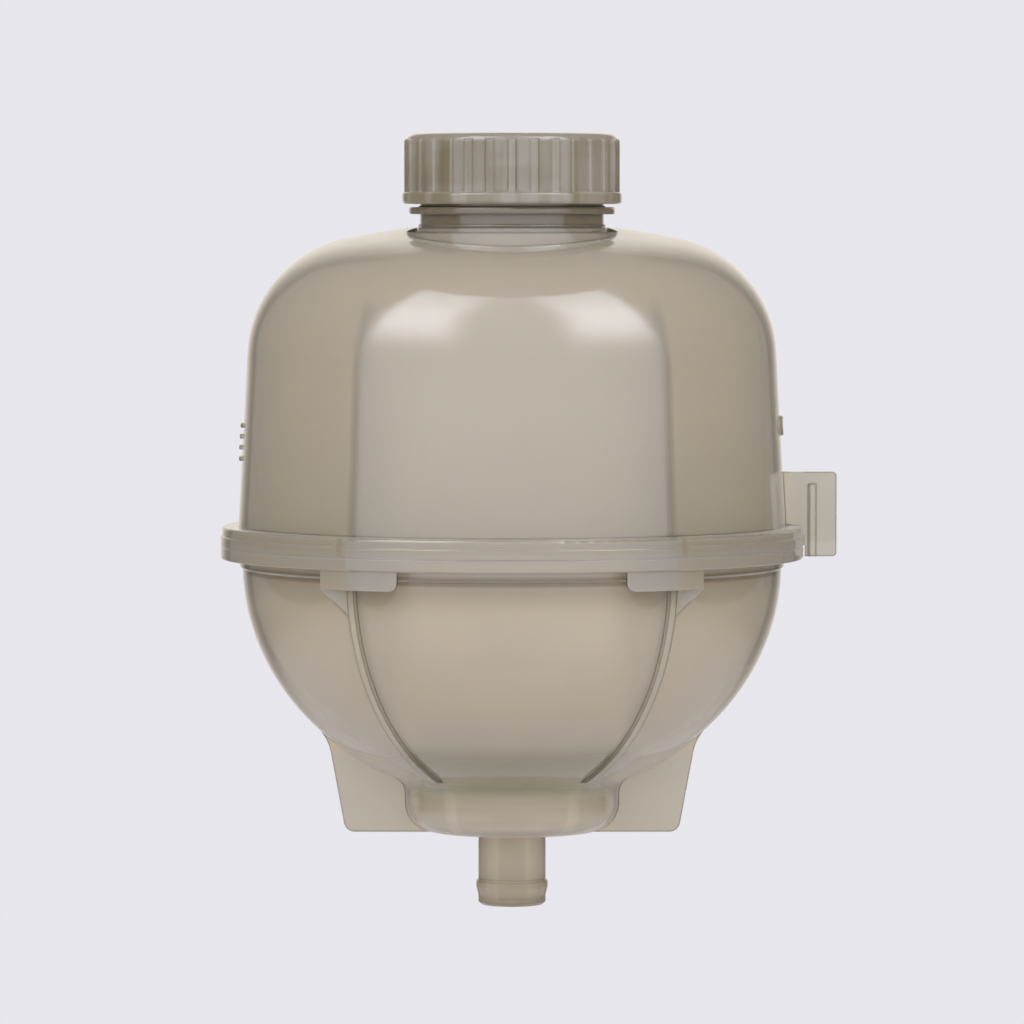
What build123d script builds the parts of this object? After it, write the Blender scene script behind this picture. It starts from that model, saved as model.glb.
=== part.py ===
from build123d import *
import os
from math import atan2, cos, pi, radians, sin, sqrt, tan

# Coolant expansion tank with an unscrewing filler cap, in millimetres.
# +Z is up, the front is -Y, the outlet hose nipple hangs along -Z from the origin.

# Shells
WALL = 2.8
BOWL_R = 75.8
BOWL_DEPTH = 66.6
BOWL_CLEARANCE = 8.9
BOWL_RIM_H = 5.4
SUMP_R = 30.0
SUMP_CORNER_R = 8.0
SUMP_FLOOR_Z = 0.3
SUMP_NECK_FILLET = 5.0
DOME_STEP = 1.48
DOME_DRAFT = 3.05
DOME_H = 91.1
CROWN_R = 230.0
SHOULDER_R = 34.2

# Weld flange
FLANGE_REACH = 6.2
LOWER_FLANGE_T = 3.5
UPPER_FLANGE_T = 5.6
FLANGE_STEP_T = 2.6
FLANGE_STEP_IN = 0.4
FLANGE_GROOVE = 0.5
COLLAR_PROUD = 0.7
COLLAR_H = 2.2

# Outlet nipple
NIPPLE_R = 9.5
NIPPLE_WALL = 2.3
NIPPLE_LENGTH = 20.5
BARB_PROUD = 0.6
BARB_ABOVE_TIP = 6.7
BARB_LAND = 1.6
BARB_RAMP = 2.6
NIPPLE_TIP_CHAMFER = 0.8

# Feet, one plate through the axis
FOOT_T = 3.0
FOOT_INSET = 28.9
FOOT_LEAN = 10.5
FOOT_CORNER_R = 3.0
FOOT_BLEND = 4.6
FOOT_SWEEP = 3.2

# Ribs, lugs and gussets, the same at the front and the back
RIB_AZIMUTH = 35.0
RIB_W = 2.4
RIB_PROUD = 1.2
RIB_FOOT_H = 7.5
LUG_REACH_IN = 11.45
LUG_REACH_OUT = 9.55
LUG_H = 5.3
LUG_SETBACK = 0.8
LUG_CORNER_R = 2.4
GUSSET_T = 2.4
GUSSET_H = 14.8
INNER_RIB_T = 2.0
INNER_RIB_DEPTH = 10.0
INNER_RIB_BELOW_TOP = 22.0
INNER_RIB_FOOT_H = 25.1

# Side tab with its snap ridge
TAB_REACH = 9.3
TAB_DROP = 3.1
TAB_RISE = 20.7
TAB_T = 3.0
TAB_CORNER_R = 1.2
TAB_FLANGE_GAP = 0.4
TAB_RIDGE_REACH = 2.4
TAB_RIDGE_W = 2.2
TAB_RIDGE_PROUD = 1.1
TAB_RIDGE_EDGE_R = 0.88
TAB_RIDGE_TOP_MARGIN = 3.4

# Filler neck
NECK_Y = -23.6
NECK_R = 25.5
NECK_WALL = 3.0
NECK_H = 23.4
SEAT_LEDGE = 3.9
SEAT_DROP = 3.0
SEAT_T = 3.2
NECK_ROOT_PROUD = 0.9
NECK_ROOT_H = 1.3
NECK_BEAD_PROUD = 3.1
NECK_BEAD_RISE = 5.0
NECK_BEAD_T = 2.0

# Cap
CAP_REACH = 3.7
CAP_RIB_PROUD = 0.8
CAP_RIB_COUNT = 30
CAP_RIB_W = 2.6
CAP_RIB_CHAMFER = 0.48
CAP_WALL = 1.7
CAP_TOP_T = 2.2
CAP_CROWN = 0.5
CAP_EDGE_R = 2.2
CAP_BRIM_PROUD = 1.3
CAP_BRIM_T = 3.4
CAP_BRIM_EDGE_R = 0.85
CAP_BEAD_GAP = 0.8
CAP_RIB_TOP_MARGIN = 2.0
SEAT_GAP = 0.3
RUN_GAP = 0.4

# Cap insert, the valve housing that plugs the neck
PLUG_GAP = 0.6
PLUG_TUBE_GAP = 2.8
PLUG_WALL = 2.2
PLUG_DEPTH = 14.4
PLUG_FLOOR_T = 1.8
PLUG_RING_T = 1.4
PLUG_RING_CHAMFER = 0.35
SEAL_SECTION_R = 1.3
SEAL_SIDE_GAP = 0.35
SEAL_BORE_GAP = 0.1
SEAL_Z_BELOW_RIM = 7.05
WINDOW_COUNT = 6
WINDOW_W = 5.0
WINDOW_H = 2.4
COVER_T = 1.6
COVER_CHAMFER = 0.4
COVER_INSET = 0.3
COVER_SPIGOT_H = 1.2
VENT_W = 2.5
VENT_DEPTH = 0.53
SNAP_HOLE_R = 6.4
SNAP_WALL = 1.4
SNAP_BARB = 1.0
SNAP_BARB_H = 1.2
SNAP_SLOT_W = 1.2

# Pressure valve and vacuum valve
ORIFICE_R = 9.0
SEAT_LIP_W = 1.4
SEAT_LIP_H = 0.8
SEAL_DISC_OVERLAP = 3.0
SEAL_DISC_T = 1.2
SEAL_DISC_HOLE_R = 5.4
VALVE_PLATE_OVERLAP = 3.6
VALVE_PLATE_T = 1.4
VALVE_RIM_H = 1.8
VALVE_RIM_T = 1.2
VALVE_BOSS_R = 2.7
VALVE_BOSS_H = 1.4
VALVE_PORT_R = 1.0
VALVE_PORT_COUNT = 4
STEM_R = 1.5
STEM_GAP = 0.3
STEM_TOP_ABOVE_PLATE = 4.6
POPPET_GAP = 2.0
POPPET_T = 1.5
POPPET_EDGE = 0.5
CLIP_REACH = 2.9
CLIP_T = 1.0
PRESSURE_WIRE_R = 0.7
PRESSURE_COIL_INSET = 2.6
PRESSURE_TURNS = 3.5
VACUUM_WIRE_R = 0.3
VACUUM_COIL_GAP = 2.1
VACUUM_TURNS = 3.0

# Height within which an edge counts as level
FLAT = 0.05

# Places worked out from the sizes above
BOWL_CENTRE_Z = BOWL_CLEARANCE + BOWL_DEPTH
WELD_Z = BOWL_CENTRE_Z + BOWL_RIM_H
DOME_TOP_Z = WELD_Z + DOME_H
DOME_FOOT_R = BOWL_R + DOME_STEP
FLANGE_R = BOWL_R + FLANGE_REACH
FLANGE_TOP_Z = WELD_Z + UPPER_FLANGE_T
FLANGE_BOTTOM_Z = WELD_Z - LOWER_FLANGE_T
NIPPLE_BORE_R = NIPPLE_R - NIPPLE_WALL
BARB_R = NIPPLE_R + BARB_PROUD
BARB_TOP_Z = BARB_ABOVE_TIP - NIPPLE_LENGTH
FOOT_BASE_X = BOWL_R - FOOT_INSET
GUSSET_APEX_Z = FLANGE_BOTTOM_Z - GUSSET_H
RIB_FOOT_Z = BOWL_CLEARANCE + RIB_FOOT_H
INNER_RIB_FOOT_Z = BOWL_CLEARANCE + INNER_RIB_FOOT_H
INNER_RIB_TOP_Z = DOME_TOP_Z - INNER_RIB_BELOW_TOP
TAB_X = FLANGE_R + TAB_REACH
TAB_Z_LOW = WELD_Z - TAB_DROP
TAB_Z_HIGH = WELD_Z + TAB_RISE
TAB_RIDGE_X = FLANGE_R + TAB_RIDGE_REACH
SEAT_Z = DOME_TOP_Z - SEAT_DROP
SEAT_R = NECK_R + SEAT_LEDGE
NECK_BORE_R = NECK_R - NECK_WALL
NECK_RIM_Z = SEAT_Z + NECK_H
NECK_ROOT_R = NECK_R + NECK_ROOT_PROUD
NECK_BEAD_R = NECK_R + NECK_BEAD_PROUD
NECK_BEAD_Z = SEAT_Z + NECK_BEAD_RISE
CAP_R = NECK_R + CAP_REACH
CAP_BORE_R = CAP_R - CAP_WALL
CAP_BRIM_R = CAP_R + CAP_BRIM_PROUD
BRIM_Z = NECK_BEAD_Z + NECK_BEAD_T + CAP_BEAD_GAP
COVER_Z = NECK_RIM_Z + SEAT_GAP
COVER_TOP_Z = COVER_Z + COVER_T
COVER_LIP_R = NECK_R - COVER_INSET
CAP_TOP_Z = COVER_TOP_Z + SEAT_GAP + CAP_TOP_T
PLUG_FLANGE_R = NECK_BORE_R - PLUG_GAP
PLUG_TUBE_R = NECK_BORE_R - PLUG_TUBE_GAP
PLUG_BOTTOM_Z = NECK_RIM_Z - PLUG_DEPTH
SEAL_Z = NECK_RIM_Z - SEAL_Z_BELOW_RIM
SEAL_DISC_R = ORIFICE_R + SEAL_DISC_OVERLAP
VALVE_PLATE_R = ORIFICE_R + VALVE_PLATE_OVERLAP
SEAT_LIP_Z = PLUG_BOTTOM_Z + PLUG_FLOOR_T + SEAT_LIP_H
PLATE_Z = SEAT_LIP_Z + SEAL_DISC_T
PLATE_TOP_Z = PLATE_Z + VALVE_PLATE_T
STEM_TOP_Z = PLATE_TOP_Z + STEM_TOP_ABOVE_PLATE
POPPET_R = ORIFICE_R - POPPET_GAP
CLIP_R = STEM_R + CLIP_REACH
PRESSURE_COIL_R = VALVE_PLATE_R - PRESSURE_COIL_INSET
VACUUM_COIL_R = STEM_R + VACUUM_COIL_GAP
RIB_AZIMUTHS = (RIB_AZIMUTH, -RIB_AZIMUTH, 180 - RIB_AZIMUTH, RIB_AZIMUTH - 180)
NECK_AXIS = Pos(0, NECK_Y, 0)


def section(*edges):
    """Face in the XZ plane from edges given in X and Z."""
    return make_face(Plane.XZ * edges[0] if len(edges) == 1 else [Plane.XZ * edge for edge in edges])


def turned(points):
    """Solid of revolution about Z from a closed list of (r, z) corners."""
    return revolve(section(Polyline(*points, close=True)), Axis.Z)


def disc(radius, low_z, high_z):
    """Upright cylinder between two heights."""
    return Pos(0, 0, low_z) * Cylinder(radius, high_z - low_z, align=(Align.CENTER, Align.CENTER, Align.MIN))


def ring(outer_r, inner_r, low_z, high_z):
    """Upright tube between two heights."""
    return disc(outer_r, low_z, high_z) - disc(inner_r, low_z, high_z)


def block(x, y, z):
    """Box from three (low, high) pairs."""
    size = [high - low for low, high in (x, y, z)]
    middle = [(high + low) / 2 for low, high in (x, y, z)]
    return Pos(*middle) * Box(*size)


def radial_plate(azimuth, thickness, inner_r, outer_r, low_z, high_z):
    """Upright plate along a radius, azimuth 0 at the front."""
    plate = block((-thickness / 2, thickness / 2), (-outer_r, -inner_r), (low_z, high_z))
    return Rot(0, 0, azimuth) * plate


def dome_face(inset):
    """Half section of the upper body: drafted wall, shoulder arc, shallow crown."""
    draft = radians(DOME_DRAFT)
    out_r = cos(draft)
    out_z = sin(draft)
    crown_z = DOME_TOP_Z - CROWN_R
    reach = CROWN_R - SHOULDER_R
    start_r = DOME_FOOT_R - SHOULDER_R * out_r
    start_z = WELD_Z - SHOULDER_R * out_z - crown_z
    along = start_r * -out_z + start_z * out_r
    climb = sqrt(along**2 - start_r**2 - start_z**2 + reach**2) - along
    centre_r = start_r - climb * out_z
    centre_z = start_z + climb * out_r + crown_z
    arm = SHOULDER_R - inset
    crown_angle = atan2(centre_z - crown_z, centre_r)
    middle_angle = (draft + crown_angle) / 2
    foot = (DOME_FOOT_R - inset / out_r, WELD_Z)
    wall_top = (centre_r + arm * out_r, centre_z + arm * out_z)
    bend = (centre_r + arm * cos(middle_angle), centre_z + arm * sin(middle_angle))
    crown_edge = (centre_r + arm * cos(crown_angle), centre_z + arm * sin(crown_angle))
    half_angle = (crown_angle + pi / 2) / 2
    crown_mid = ((CROWN_R - inset) * cos(half_angle), crown_z + (CROWN_R - inset) * sin(half_angle))
    apex = (0, DOME_TOP_Z - inset)
    return section(
        Line((0, WELD_Z), foot),
        Line(foot, wall_top),
        ThreePointArc(wall_top, bend, crown_edge),
        ThreePointArc(crown_edge, crown_mid, apex),
        Line(apex, (0, WELD_Z)),
    )


def dome_solid(inset):
    return revolve(dome_face(inset), Axis.Z)


def bowl_height(radius):
    """Height of the bowl's outside at a radius."""
    return BOWL_CENTRE_Z - BOWL_DEPTH * sqrt(1 - (radius / BOWL_R) ** 2)


def bowl_solid(inset):
    """Half ellipsoid with a round sump below it, the inside when inset by the wall."""
    half_r = BOWL_R - inset
    half_z = BOWL_DEPTH - inset
    rim = (half_r, BOWL_CENTRE_Z)
    bottom = (0, BOWL_CENTRE_Z - half_z)
    quarter = Plane.XZ * EllipticalCenterArc((0, BOWL_CENTRE_Z), half_r, half_z, 270, arc_size=90)
    top = [Plane.XZ * Line(*pair) for pair in (
        (rim, (half_r, WELD_Z)), ((half_r, WELD_Z), (0, WELD_Z)), ((0, WELD_Z), bottom))]
    bowl = revolve(make_face([quarter, *top]), Axis.Z)
    sump = disc(SUMP_R - inset, SUMP_FLOOR_Z + inset, BOWL_CENTRE_Z - half_z / 2)
    sump = fillet(sump.edges().group_by(Axis.Z)[0], SUMP_CORNER_R - inset)
    both = bowl + sump
    waist = both.edges().filter_by_position(Axis.Z, SUMP_CORNER_R, BOWL_CENTRE_Z - half_z / 2)
    joins = [edge for edge in waist if edge.bounding_box().size.Z < FLAT]
    return fillet(joins, SUMP_NECK_FILLET + inset)


def foot():
    """Right foot, a plate from the axis with a leaning outer edge that sweeps into the bowl."""
    slope = tan(radians(FOOT_LEAN))
    # crossing of the leaning edge and the bowl's ellipse
    flat = (BOWL_R / BOWL_DEPTH) ** 2
    a = slope**2 + flat
    b = FOOT_BASE_X * slope - flat * BOWL_CENTRE_Z
    c = FOOT_BASE_X**2 + flat * BOWL_CENTRE_Z**2 - BOWL_R**2
    cross_z = (-b - sqrt(b**2 - a * c)) / a
    cross_x = FOOT_BASE_X + slope * cross_z
    lean = radians(FOOT_LEAN)
    start = (cross_x - FOOT_BLEND * sin(lean), cross_z - FOOT_BLEND * cos(lean))
    end_x = cross_x + FOOT_SWEEP
    end = (end_x, bowl_height(end_x))
    inner = (end_x - WALL / 2, end[1] + WALL)
    outline = [
        Line((0, 0), (FOOT_BASE_X, 0)),
        Line((FOOT_BASE_X, 0), start),
        TangentArc(start, end, tangent=(sin(lean), cos(lean))),
        Line(end, inner),
        Line(inner, (0, inner[1])),
        Line((0, inner[1]), (0, 0)),
    ]
    face = make_face([Plane.XZ * edge for edge in outline])
    plate = extrude(face, FOOT_T / 2, both=True)
    corner = plate.edges().filter_by(Axis.Y).sort_by_distance((FOOT_BASE_X, 0, 0))[0]
    return fillet(corner, FOOT_CORNER_R)


def lug():
    """Front right lug under the flange with its gusset, as one piece with the bowl."""
    apex_r = BOWL_R * sqrt(1 - ((BOWL_CENTRE_Z - GUSSET_APEX_Z) / BOWL_DEPTH) ** 2)
    apex_x = apex_r * sin(radians(RIB_AZIMUTH))
    face_y = apex_r * cos(radians(RIB_AZIMUTH))
    lug_in = apex_x - LUG_REACH_IN
    lug_out = apex_x + LUG_REACH_OUT
    pad = block((lug_in, lug_out), (-FLANGE_R, -BOWL_R / 2), (FLANGE_BOTTOM_Z - LUG_H, FLANGE_BOTTOM_Z))
    corner = pad.edges().filter_by(Axis.Y).sort_by_distance((lug_in, 0, FLANGE_BOTTOM_Z - LUG_H))[0]
    pad = fillet(corner, LUG_CORNER_R)
    pad = pad & disc(FLANGE_R - LUG_SETBACK, FLANGE_BOTTOM_Z - LUG_H, FLANGE_BOTTOM_Z)
    outline = Polyline(
        (lug_out, FLANGE_BOTTOM_Z - LUG_H / 2),
        (lug_out, FLANGE_BOTTOM_Z - LUG_H),
        (apex_x, GUSSET_APEX_Z),
        (apex_x - LUG_H, GUSSET_APEX_Z),
        (apex_x - LUG_H, FLANGE_BOTTOM_Z - LUG_H / 2),
        close=True,
    )
    web = extrude(section(outline), GUSSET_T / 2, both=True)
    web = Pos(0, -face_y + GUSSET_T / 2, 0) * web
    return pad + (web & disc(FLANGE_R - LUG_SETBACK, GUSSET_APEX_Z, FLANGE_BOTTOM_Z))


def four_ways(piece):
    """A piece and its mirror images left to right and front to back."""
    pair = [piece, mirror(piece, Plane.YZ)]
    return pair + [mirror(one, Plane.XZ) for one in pair]


def nipple():
    """Hose nipple with one rounded barb."""
    barb_end = BARB_TOP_Z - BARB_LAND - 2 * (BARB_R - NIPPLE_R)
    points = [
        (0, SUMP_FLOOR_Z + WALL),
        (NIPPLE_R, SUMP_FLOOR_Z + WALL),
        (NIPPLE_R, BARB_TOP_Z + (BARB_R - NIPPLE_R)),
        (BARB_R, BARB_TOP_Z),
        (BARB_R, BARB_TOP_Z - BARB_LAND),
        (NIPPLE_R, barb_end - BARB_RAMP / 2),
        (NIPPLE_R, -NIPPLE_LENGTH + NIPPLE_TIP_CHAMFER),
        (NIPPLE_R - NIPPLE_TIP_CHAMFER, -NIPPLE_LENGTH),
        (0, -NIPPLE_LENGTH),
    ]
    return turned(points)


def lower_shell():
    """Bowl with sump, nipple, feet, ribs, lugs and the lower half of the weld flange."""
    outside = bowl_solid(0)
    collar = turned([
        (0, FLANGE_BOTTOM_Z),
        (BOWL_R + COLLAR_PROUD, FLANGE_BOTTOM_Z),
        (BOWL_R + COLLAR_PROUD, FLANGE_BOTTOM_Z - COLLAR_H),
        (BOWL_R - WALL / 2, FLANGE_BOTTOM_Z - 2 * COLLAR_H),
        (0, FLANGE_BOTTOM_Z - 2 * COLLAR_H),
    ])
    flange = disc(FLANGE_R, FLANGE_BOTTOM_Z, WELD_Z)
    flange = fillet(flange.edges().group_by(Axis.Z)[0], FLANGE_GROOVE)
    flange = chamfer(flange.edges().group_by(Axis.Z)[-1], FLANGE_GROOVE / 2)
    shell = outside + foot() + mirror(foot(), Plane.YZ) + collar + flange + nipple()
    rib_room = bowl_solid(-RIB_PROUD)
    for azimuth in RIB_AZIMUTHS:
        plate = radial_plate(azimuth, RIB_W, SUMP_R - WALL, FLANGE_R, RIB_FOOT_Z, FLANGE_BOTTOM_Z)
        shell += plate & rib_room
    for piece in four_ways(lug()):
        shell += piece
    cavity = bowl_solid(WALL)
    shell -= cavity
    shell -= disc(NIPPLE_BORE_R, -NIPPLE_LENGTH, SUMP_CORNER_R)
    half_r = BOWL_R - WALL
    depth_r = half_r - INNER_RIB_DEPTH
    inner_face = [
        (depth_r, WELD_Z),
        (BOWL_R, WELD_Z),
        (BOWL_R, INNER_RIB_FOOT_Z),
        (bowl_edge_r(INNER_RIB_FOOT_Z), INNER_RIB_FOOT_Z),
    ]
    rib_wall = bowl_solid(WALL / 2)
    for azimuth in RIB_AZIMUTHS:
        shell += Rot(0, 0, azimuth - 90) * web_plate(inner_face, INNER_RIB_T) & rib_wall
    return shell


def bowl_edge_r(height):
    """Radius of the bowl's inside at a height."""
    return (BOWL_R - WALL) * sqrt(1 - ((BOWL_CENTRE_Z - height) / (BOWL_DEPTH - WALL)) ** 2)


def web_plate(points, thickness):
    """Plate in the XZ plane from (r, z) corners."""
    return extrude(section(Polyline(*points, close=True)), thickness / 2, both=True)


def side_tab():
    """Mounting tab on the right with an upright snap ridge on its front."""
    outline = Polyline(
        (DOME_FOOT_R - WALL, TAB_Z_HIGH),
        (TAB_X, TAB_Z_HIGH),
        (TAB_X, TAB_Z_LOW),
        (FLANGE_R + TAB_FLANGE_GAP, TAB_Z_LOW),
        (FLANGE_R + TAB_FLANGE_GAP, WELD_Z),
        (DOME_FOOT_R - WALL, WELD_Z),
        close=True,
    )
    plate = extrude(section(outline), TAB_T / 2, both=True)
    for height in (TAB_Z_LOW, TAB_Z_HIGH):
        corner = plate.edges().filter_by(Axis.Y).sort_by_distance((TAB_X, 0, height))[0]
        plate = fillet(corner, TAB_CORNER_R)
    ridge_top = TAB_Z_HIGH - TAB_RIDGE_TOP_MARGIN
    ridge = block(
        (TAB_RIDGE_X - TAB_RIDGE_W / 2, TAB_RIDGE_X + TAB_RIDGE_W / 2),
        (-TAB_T / 2 - TAB_RIDGE_PROUD, 0),
        (TAB_Z_LOW, ridge_top),
    )
    ridge = fillet(ridge.faces().sort_by(Axis.Y)[0].edges().filter_by(Axis.Z), TAB_RIDGE_EDGE_R)
    return plate + ridge


def upper_flange():
    """Upper half of the weld flange with its stepped top."""
    step_z = FLANGE_TOP_Z - FLANGE_STEP_T
    body = disc(FLANGE_R, WELD_Z, step_z)
    body = chamfer(body.edges().group_by(Axis.Z)[0], FLANGE_GROOVE / 2)
    body = fillet(body.edges().group_by(Axis.Z)[-1], FLANGE_GROOVE)
    step = disc(FLANGE_R - FLANGE_STEP_IN, step_z - FLANGE_GROOVE, FLANGE_TOP_Z)
    step = fillet(step.edges().group_by(Axis.Z)[-1], 2 * FLANGE_GROOVE)
    return body + step


def upper_shell():
    """Dome with the offset filler neck, the side tab and the upper half of the weld flange."""
    outside = dome_solid(0)
    body = outside + upper_flange() + side_tab()
    seat = NECK_AXIS * disc(SEAT_R, SEAT_Z - SEAT_T - SHOULDER_R, SEAT_Z)
    body += seat
    body -= NECK_AXIS * disc(SEAT_R, SEAT_Z, DOME_TOP_Z + WALL)
    body -= dome_solid(WALL) - NECK_AXIS * disc(SEAT_R + WALL, SEAT_Z - SEAT_T, DOME_TOP_Z)
    body -= NECK_AXIS * disc(SEAT_R - WALL, SEAT_Z - SEAT_T - SHOULDER_R, SEAT_Z - SEAT_T)
    neck = ring(NECK_R, NECK_BORE_R, SEAT_Z - SEAT_T, NECK_RIM_Z)
    neck = chamfer(neck.edges().group_by(Axis.Z)[-1], FLANGE_GROOVE)
    neck += ring(NECK_ROOT_R, NECK_BORE_R, SEAT_Z - SEAT_T, SEAT_Z + NECK_ROOT_H)
    bead = ring(NECK_BEAD_R, NECK_BORE_R, NECK_BEAD_Z, NECK_BEAD_Z + NECK_BEAD_T)
    neck += fillet(bead.edges().filter_by(GeomType.CIRCLE).sort_by(SortBy.RADIUS)[-2:], FLANGE_GROOVE)
    body += NECK_AXIS * neck
    body -= NECK_AXIS * disc(NECK_BORE_R, SEAT_Z - SEAT_T - SHOULDER_R, NECK_RIM_Z)
    depth_r = DOME_FOOT_R - WALL - INNER_RIB_DEPTH
    inner_face = [
        (depth_r, WELD_Z),
        (DOME_FOOT_R, WELD_Z),
        (DOME_FOOT_R, INNER_RIB_TOP_Z),
        (depth_r + WALL, INNER_RIB_TOP_Z),
    ]
    rib_wall = dome_solid(WALL / 2)
    for azimuth in RIB_AZIMUTHS:
        body += Rot(0, 0, azimuth - 90) * web_plate(inner_face, INNER_RIB_T) & rib_wall
    return body


def cap_shell():
    """Knurled screw cap: skirt, brim, grip ribs and the split snap stub that carries the insert."""
    inside_z = CAP_TOP_Z - CAP_TOP_T
    body = disc(CAP_R, BRIM_Z, CAP_TOP_Z - CAP_CROWN)
    top = turned([(0, CAP_TOP_Z), (0, inside_z), (CAP_R, inside_z), (CAP_R, CAP_TOP_Z - CAP_CROWN)])
    body = body + top
    rim = body.edges().filter_by(GeomType.CIRCLE).group_by(Axis.Z)[-1]
    body = fillet(rim, CAP_EDGE_R)
    brim = disc(CAP_BRIM_R, BRIM_Z, BRIM_Z + CAP_BRIM_T)
    brim = fillet(brim.edges(), CAP_BRIM_EDGE_R)
    body += brim
    rib_low = BRIM_Z + CAP_BRIM_T / 2
    rib_high = CAP_TOP_Z - CAP_RIB_TOP_MARGIN
    rib = block(
        (-CAP_RIB_W / 2, CAP_RIB_W / 2),
        (CAP_R - CAP_WALL / 2, CAP_R + CAP_RIB_PROUD),
        (rib_low, rib_high),
    )
    rib = chamfer(rib.faces().sort_by(Axis.Y)[-1].edges(), CAP_RIB_CHAMFER)
    for index in range(CAP_RIB_COUNT):
        body += Rot(0, 0, index * 360 / CAP_RIB_COUNT) * rib
    body -= disc(CAP_BORE_R, BRIM_Z, inside_z)
    stub_r = SNAP_HOLE_R - RUN_GAP
    barb_top = COVER_Z - COVER_SPIGOT_H - SEAT_GAP
    barb_low = barb_top - SNAP_BARB_H
    stub = turned([
        (stub_r - SNAP_WALL, inside_z),
        (stub_r, inside_z),
        (stub_r, barb_top),
        (stub_r + SNAP_BARB, barb_top),
        (stub_r, barb_low),
        (stub_r - SNAP_WALL, barb_low),
    ])
    for angle in (0, 90):
        slot = block((-SNAP_HOLE_R * 2, SNAP_HOLE_R * 2), (-SNAP_SLOT_W / 2, SNAP_SLOT_W / 2),
                     (barb_low, inside_z - SEAT_GAP))
        stub -= Rot(0, 0, angle) * slot
    return NECK_AXIS * (body + stub)


def cap_insert():
    """Valve housing: tube with guide rings, seal groove, vent windows and the pressure valve seat."""
    tube_top = COVER_Z
    bore_r = PLUG_TUBE_R - PLUG_WALL
    groove_half = SEAL_SECTION_R + SEAL_SIDE_GAP
    body = ring(PLUG_TUBE_R, bore_r, PLUG_BOTTOM_Z, tube_top)
    for low_z in (SEAL_Z + groove_half, SEAL_Z - groove_half - PLUG_RING_T):
        guide = ring(PLUG_FLANGE_R, bore_r, low_z, low_z + PLUG_RING_T)
        rims = guide.edges().filter_by(GeomType.CIRCLE).sort_by(SortBy.RADIUS)[-2:]
        body += chamfer(rims, PLUG_RING_CHAMFER)
    body += ring(PLUG_TUBE_R, ORIFICE_R, PLUG_BOTTOM_Z, PLUG_BOTTOM_Z + PLUG_FLOOR_T)
    body += ring(ORIFICE_R + SEAT_LIP_W, ORIFICE_R, PLUG_BOTTOM_Z, SEAT_LIP_Z)
    window_top = tube_top - COVER_SPIGOT_H - SEAT_GAP
    window = block(
        (-WINDOW_W / 2, WINDOW_W / 2), (0, PLUG_FLANGE_R), (window_top - WINDOW_H, window_top)
    )
    for index in range(WINDOW_COUNT):
        body -= Rot(0, 0, index * 360 / WINDOW_COUNT) * window
    return NECK_AXIS * body


def valve_cover():
    """Disc that closes the housing, carries it on the neck rim and takes the cap's snap stub."""
    bore_r = PLUG_TUBE_R - PLUG_WALL
    spigot_z = COVER_Z - COVER_SPIGOT_H
    disc_body = disc(COVER_LIP_R, COVER_Z, COVER_TOP_Z)
    disc_body = chamfer(disc_body.edges().group_by(Axis.Z)[-1], COVER_CHAMFER)
    body = disc_body + disc(bore_r - SEAT_GAP, spigot_z, COVER_Z)
    body -= disc(SNAP_HOLE_R, spigot_z, COVER_TOP_Z)
    vent = block((-VENT_W / 2, VENT_W / 2), (PLUG_TUBE_R, NECK_R), (COVER_Z, COVER_Z + VENT_DEPTH))
    for index in range(WINDOW_COUNT):
        body -= Rot(0, 0, index * 360 / WINDOW_COUNT) * vent
    return NECK_AXIS * body


def neck_seal_ring():
    """Sealing ring in the groove of the housing."""
    middle_r = NECK_BORE_R - SEAL_BORE_GAP - SEAL_SECTION_R
    return NECK_AXIS * Pos(0, 0, SEAL_Z) * Torus(middle_r, SEAL_SECTION_R)


def pressure_valve_plate():
    """Valve plate with a spring rim, a stem guide boss and flow ports."""
    body = disc(VALVE_PLATE_R, PLATE_Z, PLATE_TOP_Z)
    body += ring(VALVE_PLATE_R, VALVE_PLATE_R - VALVE_RIM_T, PLATE_Z, PLATE_TOP_Z + VALVE_RIM_H)
    body += disc(VALVE_BOSS_R, PLATE_Z, PLATE_TOP_Z + VALVE_BOSS_H)
    body -= disc(STEM_R + STEM_GAP, PLATE_Z, PLATE_TOP_Z + VALVE_BOSS_H)
    port_r = (SEAL_DISC_HOLE_R + VALVE_BOSS_R) / 2
    for index in range(VALVE_PORT_COUNT):
        port = Pos(port_r, 0, 0) * disc(VALVE_PORT_R, PLATE_Z, PLATE_TOP_Z)
        body -= Rot(0, 0, index * 360 / VALVE_PORT_COUNT) * port
    return NECK_AXIS * body


def pressure_valve_seal():
    """Rubber disc that closes the orifice and takes the vacuum poppet's face."""
    return NECK_AXIS * ring(SEAL_DISC_R, SEAL_DISC_HOLE_R, SEAT_LIP_Z, PLATE_Z)


def coil(mean_r, wire_r, turns, low_z, high_z):
    """Round wire spring between two heights."""
    span = high_z - low_z - 2 * wire_r
    path = Helix(pitch=span / turns, height=span, radius=mean_r)
    start = path @ 0
    profile = Plane(origin=start, z_dir=path % 0) * Circle(wire_r)
    return Pos(0, 0, low_z + wire_r) * sweep(profile, path, is_frenet=True)


def pressure_spring():
    return NECK_AXIS * coil(
        PRESSURE_COIL_R, PRESSURE_WIRE_R, PRESSURE_TURNS, PLATE_TOP_Z, COVER_Z - COVER_SPIGOT_H
    )


def vacuum_poppet():
    """Mushroom valve that hangs under the plate on its stem."""
    head_top = SEAT_LIP_Z
    return NECK_AXIS * turned([
        (0, head_top - POPPET_T),
        (POPPET_R - POPPET_EDGE, head_top - POPPET_T),
        (POPPET_R, head_top - POPPET_EDGE),
        (POPPET_R, head_top),
        (STEM_R, head_top),
        (STEM_R, STEM_TOP_Z),
        (0, STEM_TOP_Z),
    ])


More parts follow.
